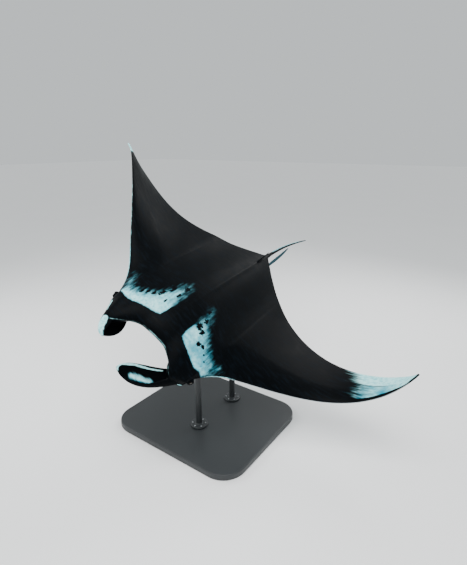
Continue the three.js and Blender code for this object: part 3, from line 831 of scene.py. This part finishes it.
# the right wing tip is turned so far that its underside shows, and that carries the same marks
onTip = smooth(ax, *part["tipX"]) * ~left
onTail = smooth(y, *part["tailY"]) * (ax < part["tailX"])
onPelvic = smooth(-behindEdge, *part["pelvicOff"]) * (ax > part["pelvicX"])
# painted highlight: a pale, blue-tinted streak along the side of the tail turned up towards the light
tailHighlight = onTail * smooth(normal @ np.array(marks["tailLitSide"]), *part["tailHighlightFacing"])
tailHighlight *= smooth(y, *part["tailHighlightY"])
# the underside is dark round the mouth and on the fins
chin = (1 - smooth(y, *part["chinY"])) * (ax < part["chinX"]) * (onBackSide < 0.999)
pale = np.maximum.reduce([tipMarks(), edgeLinesAndLipHighlight(), part["tailHighlightPale"] * tailHighlight] + list(drawn.values()))
blue = np.maximum.reduce([
    tint["tip"] * left * (1 - smooth(y, *tint["tipY"])) * band(ax, *tint["tipX"]),
    # painted shade: the left shoulder patch, turned away from the light, is clouded bluer than the right
    np.where(left, *tint["shoulders"]) * (ax < tint["shoulderX"]) * (y > tint["shoulderY"]),
    # painted shade: blue round the rim of the left fin patch
    tint["rim"] * band(drawn["leftPatch"], *tint["rimShare"]),
    tint["tail"] * tailHighlight,
])
attributes = {
    "backSide": onBackSide,
    "shoulderEdge": shoulder,
    "ragged": np.maximum(ragged, part["fadeRagged"] * fade),
    "fade": fade,
    "blotch": blotch,
    "paleMark": np.clip(pale, 0, 1),
    "blueShade": blue,
    "darkFlesh": np.clip(np.maximum.reduce([onFin, onTail, onTip, chin]), 0, 1),
    "behindEdge": behindEdge,
    # where the pelvic fins take painted light, as if it shone through them
    "litThinFin": onPelvic,
    # dark spots on the belly, behind the gill slits
    "spotted": (1 - smooth(ax, *part["spottedX"])) * band(y, *part["spottedY"]),
    "slits": slits,
    "insideMouth": np.clip(inside, 0, 1),
}
mesh = skin.data
for name, values in attributes.items():
    layer = mesh.attributes.new(name, "FLOAT", "POINT")
    layer.data.foreach_set("value", np.ascontiguousarray(values, np.float32))
layer = mesh.attributes.new("flatPlace", "FLOAT_VECTOR", "POINT")
layer.data.foreach_set("vector", np.ascontiguousarray(flat, np.float32).ravel())
setCoordinates(mesh, place(flat))
shadeSmooth(mesh)
mesh.update()
print("skin posed:", len(mesh.polygons), "faces")


# sRGB hex to linear
def linear(code):
    values = [int(code[i:i + 2], 16) / 255 for i in (1, 3, 5)]
    return tuple([v / 12.92 if v <= 0.04045 else ((v + 0.055) / 1.055) ** 2.4 for v in values] + [1.0])


# adds a node with its settings and inputs, and gives one output. Inputs go by name, or by number where names
# repeat: a Mix has its share at 0 and colours at 6 and 7, a MapRange its value at 0 and its ranges at 1 to 4
def add(tree, kind, settings, inputs, output=0):
    made = tree.nodes.new("ShaderNode" + kind)
    for name, value in settings.items():
        setattr(made, name, value)
    for socket, value in inputs.items():
        if isinstance(value, bpy.types.NodeSocket):
            tree.links.new(value, made.inputs[socket])
        else:
            made.inputs[socket].default_value = value
    return made.outputs[output] if len(made.outputs) else None


def newTree(name):
    material = bpy.data.materials.new(name)
    material.use_nodes = True
    material.node_tree.nodes.clear()
    return material, material.node_tree


rgb = {"data_type": "RGBA"}
eased = {"interpolation_type": "SMOOTHSTEP"}
scaled = {"operation": "MULTIPLY_ADD"}
product = {"operation": "MULTIPLY"}
raised = {"operation": "POWER"}

# painted resin cast of wet ray hide: near black and satin, so that only broad soft highlights show its form,
# with cool white markings brushed out into streaks. Widths and reaches are in millimetres,
# and the grain's height is in metres
hide = {
    "black": "#020406", "streak": "#070f16", "white": "#b6f4f6", "whiteShade": "#52bcc6", "blue": "#188aa2",
    "belly": "#ced8da", "bellyShade": "#a3b2b9", "charcoal": "#10171c", "spot": "#20282d",
    "insideMouth": "#1d2226", "slits": "#3b454b", "litThinFin": "#1f3a42", "specular": 0.045,
    "streakWidth": 20, "cloudWidth": 90, "mottleWidth": 25, "fleckWidth": 15, "spotSpacing": 95,
    "grainWidth": 4, "grainHeight": 0.001, "grainStrength": 0.2, "across": (0.18, 1.0, 0.6),
    "along": (1.0, 0.25, 0.6), "streakReach": 150, "fadeReach": 18, "fleckPull": 1.7, "streakPull": 1.1,
    "marginWander": 300, "spotWander": 0.3,
}
# how each pattern is mapped: from 1 to 2, and to 3 and 4
hideRanges = {
    "streaks": {1: 0.5, 2: 0.8}, "mottle": {1: 0.44, 2: 0.74, 4: 0.8}, "marks": {1: 0.78, 2: 1.42},
    "blueClouds": {1: 0.32, 2: 0.66, 3: 0.25, 4: 1.25}, "roughness": {1: 0.3, 2: 0.7, 3: 0.4, 4: 0.56},
    "patch": {1: -1.0, 2: 1.4}, "patchRim": {1: -1.0, 2: 3.0, 3: 0.9, 4: 0.0}, "patchEdge": {3: 6, 4: 48},
    "patchStreaks": {3: 0.1, 4: 1.0}, "blotches": {1: 1.28, 2: 1.42, 3: 1.0, 4: 0.0},
    "faded": {3: 1.0, 4: 0.55}, "bellyClouds": {1: 0.4, 2: 0.7},
    "margin": {1: 210, 2: 350, 3: 1.0, 4: 0.0}, "spots": {1: 0.32, 2: 0.36, 3: 1.0, 4: 0.0},
}


# the pale marks: white, mottled at random with whiteShade, the white's painted shade tone, and clouded with
# blue by the blueShade share
def markTone(tree, read, noise):
    amount = add(tree, "MapRange", {}, {0: noise["mottle"], **hideRanges["mottle"]})
    white = add(tree, "Mix", rgb, {0: amount, 6: linear(hide["white"]), 7: linear(hide["whiteShade"])}, 2)
    amount = add(tree, "MapRange", {}, {0: noise["clouds"], **hideRanges["blueClouds"]})
    amount = add(tree, "Math", product, {0: amount, 1: read["blueShade"]})
    return add(tree, "Mix", rgb, {0: amount, 6: white, 7: linear(hide["blue"])}, 2)


# a shoulder patch is crisp in front, and fades through blue into streaks behind
def shoulderPatch(tree, read, noise, back, white):
    reach = hide["streakReach"]
    shift = add(tree, "Math", scaled, {0: noise["bodyStreaks"], 1: reach, 2: -reach / 2})
    share = add(tree, "MapRange", {}, {0: read["ragged"], **hideRanges["patchStreaks"]})
    shift = add(tree, "Math", scaled, {0: shift, 1: share, 2: read["shoulderEdge"]})
    edge = add(tree, "Math", scaled, {0: read["fade"], 1: -hide["fadeReach"], 2: shift})
    softness = add(tree, "MapRange", {}, {0: read["ragged"], **hideRanges["patchEdge"]})
    edge = add(tree, "Math", {"operation": "DIVIDE"}, {0: edge, 1: softness})
    rim = add(tree, "MapRange", {}, {0: edge, **hideRanges["patchRim"]})
    patch = add(tree, "MapRange", eased, {0: edge, **hideRanges["patch"]})
    blotches = add(tree, "Math", scaled, {0: noise["flecks"], 1: hide["fleckPull"], 2: read["blotch"]})
    blotches = add(tree, "MapRange", {}, {0: blotches, **hideRanges["blotches"]})
    faded = add(tree, "MapRange", {}, {0: read["fade"], **hideRanges["faded"]})
    for share in (blotches, faded):
        patch = add(tree, "Math", product, {0: patch, 1: share})
    # squared, because a mix of light and dark looks lighter than its share
    patch = add(tree, "Math", raised, {0: patch, 1: 2.0})
    tone = add(tree, "Mix", rgb, {0: rim, 6: white, 7: linear(hide["blue"])}, 2)
    return add(tree, "Mix", rgb, {0: patch, 6: back, 7: tone}, 2)


# the belly: white, with a charcoal rear margin, dark spots and shaded gill slits
def bellyTone(tree, read, noise, where):
    amount = add(tree, "MapRange", {}, {0: noise["clouds"], **hideRanges["bellyClouds"]})
    tone = add(tree, "Mix", rgb, {0: amount, 6: linear(hide["belly"]), 7: linear(hide["bellyShade"])}, 2)
    wander = {0: noise["clouds"], 1: hide["marginWander"], 2: read["behindEdge"]}
    margin = add(tree, "Math", scaled, wander)
    margin = add(tree, "MapRange", eased, {0: margin, **hideRanges["margin"]})
    cells = add(tree, "TexVoronoi", {}, {"Vector": where, "Scale": 1 / hide["spotSpacing"]})
    cells = add(tree, "Math", scaled, {0: noise["mottle"], 1: hide["spotWander"], 2: cells})
    spots = add(tree, "MapRange", {}, {0: cells, **hideRanges["spots"]})
    spots = add(tree, "Math", product, {0: spots, 1: read["spotted"]})
    for share, name in ((margin, "charcoal"), (spots, "spot"), (read["slits"], "slits")):
        tone = add(tree, "Mix", rgb, {0: share, 6: tone, 7: linear(hide[name])}, 2)
    return tone


def hideMaterial():
    material, tree = newTree("painted_ray_hide")
    where = add(tree, "Attribute", {"attribute_name": "flatPlace"}, {}, "Vector")
    read = {name: add(tree, "Attribute", {"attribute_name": name}, {}, "Fac") for name in attributes}
    # streaks run out across the wings, and others along the body, four times as long as wide
    across = add(tree, "Mapping", {}, {"Vector": where, "Scale": hide["across"]})
    along = add(tree, "Mapping", {}, {"Vector": where, "Scale": hide["along"]})
    # each pattern's place, width and detail. Denticles are about 1 mm, too fine to show, so the grain is
    # drawn at 4 mm
    patterns = {
        "streaks": (across, hide["streakWidth"], 5), "bodyStreaks": (along, hide["streakWidth"] / 0.9, 5),
        "clouds": (where, hide["cloudWidth"], 6), "mottle": (where, hide["mottleWidth"], 5),
        "flecks": (where, hide["fleckWidth"], 3), "grain": (where, hide["grainWidth"], 3),
    }
    noise = {
        name: add(tree, "TexNoise", {}, {"Vector": vector, "Scale": 1 / width, "Detail": detail})
        for name, (vector, width, detail) in patterns.items()
    }
    amount = add(tree, "MapRange", {}, {0: noise["streaks"], **hideRanges["streaks"]})
    back = add(tree, "Mix", rgb, {0: amount, 6: linear(hide["black"]), 7: linear(hide["streak"])}, 2)
    white = markTone(tree, read, noise)
    back = shoulderPatch(tree, read, noise, back, white)
    # the other pale marks thin out into streaks where they are weak
    marked = add(tree, "Math", scaled, {0: noise["streaks"], 1: hide["streakPull"], 2: read["paleMark"]})
    marked = add(tree, "MapRange", eased, {0: marked, **hideRanges["marks"]})
    marked = add(tree, "Math", raised, {0: marked, 1: 2.0})
    back = add(tree, "Mix", rgb, {0: marked, 6: back, 7: white}, 2)
    flesh = add(tree, "Mix", rgb, {0: marked, 6: linear(hide["black"]), 7: white}, 2)
    belly = bellyTone(tree, read, noise, where)
    tone = add(tree, "Mix", rgb, {0: read["backSide"], 6: belly, 7: back}, 2)
    tone = add(tree, "Mix", rgb, {0: read["darkFlesh"], 6: tone, 7: flesh}, 2)
    # the pelvic fins take a blue-grey tone, painted light shining through the thin fins, and the mouth's
    # inside its dark tone
    for name in ("litThinFin", "insideMouth"):
        tone = add(tree, "Mix", rgb, {0: read[name], 6: tone, 7: linear(hide[name])}, 2)
    grain = {"Strength": hide["grainStrength"], "Distance": hide["grainHeight"], "Height": noise["grain"]}
    surface = add(tree, "BsdfPrincipled", {}, {
        "Base Color": tone,
        "Roughness": add(tree, "MapRange", {}, {0: noise["streaks"], **hideRanges["roughness"]}),
        "Normal": add(tree, "Bump", {}, grain),
        "IOR": 1.45,
        "Specular IOR Level": hide["specular"],
    })
    add(tree, "OutputMaterial", {}, {"Surface": surface})
    return material


mesh.materials.clear()
mesh.materials.append(hideMaterial())
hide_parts(*fleshNodes)
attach(skin, "root")
print("skin painted")

# glass eyes: blown glass over a painted iris, so that one small sharp highlight makes them look wet.
# Sizes are shares of the ball's radius
eyeballs = {
    "iris": "#241a10", "irisLight": "#4a3a22", "rim": "#0d0f10", "pupil": "#010102",
    "irisEdge": (0.5, 0.64), "pupilSize": (0.42, 0.2, 1.0), "pupilEdge": (1.08, 0.95), "fibres": 14,
    "rows": 41,
}


def eyeMaterial():
    material, tree = newTree("glass_eye")
    where = add(tree, "Attribute", {"attribute_name": "gazePlace"}, {}, "Vector")
    level = add(tree, "VectorMath", product, {0: where, 1: (1.0, 1.0, 0.0)})
    radius = add(tree, "VectorMath", {"operation": "LENGTH"}, {0: level}, "Value")
    oval = add(tree, "VectorMath", {"operation": "DIVIDE"}, {0: level, 1: eyeballs["pupilSize"]})
    oval = add(tree, "VectorMath", {"operation": "LENGTH"}, {0: oval}, "Value")
    fibres = add(tree, "TexNoise", {}, {"Vector": where, "Scale": eyeballs["fibres"], "Detail": 4})
    dark, light = linear(eyeballs["iris"]), linear(eyeballs["irisLight"])
    tone = add(tree, "Mix", rgb, {0: fibres, 6: dark, 7: light}, 2)
    for name, distance, (start, end) in (
        ("rim", radius, eyeballs["irisEdge"]), ("pupil", oval, eyeballs["pupilEdge"]),
    ):
        share = add(tree, "MapRange", {}, {0: distance, 1: start, 2: end})
        tone = add(tree, "Mix", rgb, {0: share, 6: tone, 7: linear(eyeballs[name])}, 2)
    surface = add(tree, "BsdfPrincipled", {}, {
        "Base Color": tone, "Roughness": 0.1, "Coat Weight": 1.0, "Coat Roughness": 0.03, "IOR": 1.5,
    })
    add(tree, "OutputMaterial", {}, {"Surface": surface})
    return material


def eyeball(side, name):
    points, faces = ballShell((0, 0, 0), (1, 1, 1), rows=eyeballs["rows"])
    gaze = eyeGaze(side)
    flatSide = np.cross((0, 0, 1), gaze)
    flatSide /= np.linalg.norm(flatSide)
    upSide = np.cross(gaze, flatSide)
    turned = points[:, :1] * flatSide + points[:, 1:2] * upSide + points[:, 2:] * gaze
    ball = makeObject(name, place(eyeCentre(side) + turned * eye["radius"]), faces)
    layer = ball.data.attributes.new("gazePlace", "FLOAT_VECTOR", "POINT")
    layer.data.foreach_set("vector", np.ascontiguousarray(points, np.float32).ravel())
    shadeSmooth(ball.data)
    return ball


glass = eyeMaterial()
for side, node in ((1, "left_eye"), (-1, "right_eye")):
    ball = eyeball(side, node + "ball")
    ball.data.materials.append(glass)
    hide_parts(node)
    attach(ball, "root")
print("eyes set")

# powder-coated steel: baked polyester powder, whose fine orange peel softens every highlight.
# The peel is about 1.5 mm wide, drawn at 4 mm so that it shows. Widths are in metres
coat = {
    "dark": "#1d2022", "light": "#262a2c", "peelWidth": 0.004, "peelHeight": 0.001, "peelStrength": 0.15,
    "cloudWidth": 0.3, "roughness": (0.42, 0.54),
}


def coatMaterial():
    material, tree = newTree("powder_coated_steel")
    where = add(tree, "TexCoord", {}, {}, "Object")
    peel = add(tree, "TexNoise", {}, {"Vector": where, "Scale": 1 / coat["peelWidth"], "Detail": 2})
    cloud = add(tree, "TexNoise", {}, {"Vector": where, "Scale": 1 / coat["cloudWidth"], "Detail": 6})
    bumps = {"Strength": coat["peelStrength"], "Distance": coat["peelHeight"], "Height": peel}
    tone = add(tree, "Mix", rgb, {0: cloud, 6: linear(coat["dark"]), 7: linear(coat["light"])}, 2)
    satin, matt = coat["roughness"]
    rough = add(tree, "MapRange", {}, {0: cloud, 3: satin, 4: matt})
    bumped = add(tree, "Bump", {}, bumps)
    surface = add(tree, "BsdfPrincipled", {}, {"Base Color": tone, "Roughness": rough, "Normal": bumped})
    add(tree, "OutputMaterial", {}, {"Surface": surface})
    return material


# stainless screws: turned heads, bright so that they read against the dark plate.
# Turning marks are under 0.2 mm apart, drawn at 1 mm
turned = {"dark": "#8d9194", "light": "#b4b8ba", "markWidth": 0.001, "roughness": (0.28, 0.4)}


def screwMaterial():
    material, tree = newTree("stainless_screw")
    where = add(tree, "TexCoord", {}, {}, "Object")
    rings = add(tree, "TexNoise", {}, {"Vector": where, "Scale": 1 / turned["markWidth"], "Detail": 2})
    tone = add(tree, "Mix", rgb, {0: rings, 6: linear(turned["dark"]), 7: linear(turned["light"])}, 2)
    bright, dull = turned["roughness"]
    rough = add(tree, "MapRange", {}, {0: rings, 3: bright, 4: dull})
    surface = add(tree, "BsdfPrincipled", {}, {"Base Color": tone, "Roughness": rough, "Metallic": 1.0})
    add(tree, "OutputMaterial", {}, {"Surface": surface})
    return material


# each rod is a turned tube with a filleted foot flange and a ring of screws, and a rounded end in the belly
rod = {
    "radius": 31.6, "flange": 88.0, "flangeThickness": 18.0, "fillet": 12.0, "sides": 72,
    "screws": 6, "screwCircle": 64.0, "screwRadius": 7.5, "screwHeight": 6.0, "screwChamfer": 1.5,
    "screwSunk": 0.5, "socket": 3.6, "socketTaper": 0.2, "socketFloor": 2, "screwSides": 24,
}


def latheShell(outline, sides):
    turn = np.linspace(0, 2 * np.pi, sides + 1)[:-1]
    rings = [[(r * np.cos(t), r * np.sin(t), z) for t in turn] for r, z in outline]
    return ringShell(np.array(rings, float))


def rodShell(foot, top):
    r, wide, fillet = rod["radius"], rod["flange"], rod["fillet"]
    seat = foot + rod["flangeThickness"]
    outline = [(wide - 1, foot + 0.2), (wide, foot + 2), (wide, seat - 6), (wide - 1.8, seat - 1.8)]
    outline += [(wide - 6, seat), (r + fillet, seat)]
    turns = np.linspace(0.1, 1.5, 8)
    outline += [(r + fillet * (1 - np.sin(a)), seat + fillet * (1 - np.cos(a))) for a in turns]
    outline += [(r, seat + 20), (r, top - 8), (r - 2, top - 3), (r - 8, top - 0.5)]
    return latheShell(outline, rod["sides"])


def screwShells(seat):
    wide, socket, chamfer = rod["screwRadius"], rod["socket"], rod["screwChamfer"]
    top = seat + rod["screwHeight"]
    head = [(wide, seat - rod["screwSunk"]), (wide, top - chamfer), (wide - chamfer, top), (socket, top)]
    head.append((socket - rod["socketTaper"], seat + rod["socketFloor"]))
    corners, sheets = [], []
    for i in range(rod["screws"]):
        turn = 2 * np.pi * (i + 0.5) / rod["screws"]
        points, faces = latheShell(head, rod["screwSides"])
        sheets += [[c + sum(len(p) for p in corners) for c in face] for face in faces]
        corners.append(points + [rod["screwCircle"] * np.cos(turn), rod["screwCircle"] * np.sin(turn), 0])
    return np.concatenate(corners), sheets


steel, stainless = coatMaterial(), screwMaterial()
for name in ("stand_rod_front", "stand_rod_rear"):
    low, high = [np.array(corner) * 1000 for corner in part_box(name)]
    middle = [(low[0] + high[0]) / 2, (low[1] + high[1]) / 2, 0]
    points, faces = rodShell(low[2], high[2])
    tube = makeObject(name + "_tube", (points + middle) / 1000, faces)
    shadeSmooth(tube.data)
    tube.data.materials.append(steel)
    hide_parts(name)
    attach(tube, "root")
    points, faces = screwShells(low[2] + rod["flangeThickness"])
    screws = makeObject(name + "_screws", (points + middle) / 1000, faces)
    screws.data.materials.append(stainless)
    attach(screws, "root")
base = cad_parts["stand_base"]
base.data.materials.clear()
base.data.materials.append(steel)
print("stand finished")

# the room, in metres: sealed concrete floor, pale and matt, with faint clouds from the trowel
room = {
    "floorHalf": 60, "floor": "#f2f3f3", "floorLight": "#f7f7f7", "cloudScale": 0.6, "roughness": 0.8,
    "specular": 0.2, "air": "#e3e8ea", "glow": 0.9,
}


def floorMaterial():
    material, tree = newTree("pale_floor")
    where = add(tree, "TexCoord", {}, {}, "Object")
    clouds = add(tree, "TexNoise", {}, {"Vector": where, "Scale": room["cloudScale"], "Detail": 3})
    tone = add(tree, "Mix", rgb, {0: clouds, 6: linear(room["floor"]), 7: linear(room["floorLight"])}, 2)
    surface = add(tree, "BsdfPrincipled", {}, {
        "Base Color": tone, "Roughness": room["roughness"], "Specular IOR Level": room["specular"],
    })
    add(tree, "OutputMaterial", {}, {"Surface": surface})
    return material


half = room["floorHalf"]
floorCorners = [(-half, -half, 0), (half, -half, 0), (half, half, 0), (-half, half, 0)]
floor = makeObject("floor", floorCorners, [(0, 1, 2, 3)])
floor.data.materials.append(floorMaterial())

world = bpy.data.worlds.new("room")
world.use_nodes = True
background = world.node_tree.nodes["Background"]
background.inputs[0].default_value = linear(room["air"])
background.inputs[1].default_value = room["glow"]
bpy.context.scene.world = world

lamps = [
    {"name": "key", "at": (1.5, -2.5, 6.0), "size": 4.0, "power": 380},
    {"name": "side", "at": (-5.0, -1.5, 4.0), "size": 3.0, "power": 160},
    {"name": "rear", "at": (1.0, 5.0, 4.5), "size": 3.0, "power": 200},
]
lampAim = (0, 0, 1.3)
for lamp in lamps:
    data = bpy.data.lights.new(lamp["name"], "AREA")
    data.size = lamp["size"]
    data.energy = lamp["power"]
    made = bpy.data.objects.new(lamp["name"], data)
    made.location = lamp["at"]
    made.rotation_euler = (Vector(lampAim) - Vector(lamp["at"])).to_track_quat("-Z", "Y").to_euler()
    bpy.context.scene.collection.objects.link(made)

view = {
    "at": (2.404, -2.917, 2.751), "pitch": 71.79, "heading": 35.40, "lens": 26.76, "sensor": 36, "reach": 200,
}
cameraData = bpy.data.cameras.new("camera")
cameraData.lens = view["lens"]
cameraData.sensor_width = view["sensor"]
cameraData.clip_end = view["reach"]
camera = bpy.data.objects.new("camera", cameraData)
camera.location = view["at"]
camera.rotation_euler = (math.radians(view["pitch"]), 0, math.radians(view["heading"]))
bpy.context.scene.collection.objects.link(camera)
bpy.context.scene.camera = camera

daylight = {"power": 0.45, "spread": 60, "tilt": (25, 12)}
sun = bpy.data.lights.new("daylight", "SUN")
sun.energy = daylight["power"]
sun.angle = math.radians(daylight["spread"])
sunlight = bpy.data.objects.new("daylight", sun)
sunlight.rotation_euler = [math.radians(angle) for angle in daylight["tilt"]] + [0]
bpy.context.scene.collection.objects.link(sunlight)
print("room lit")
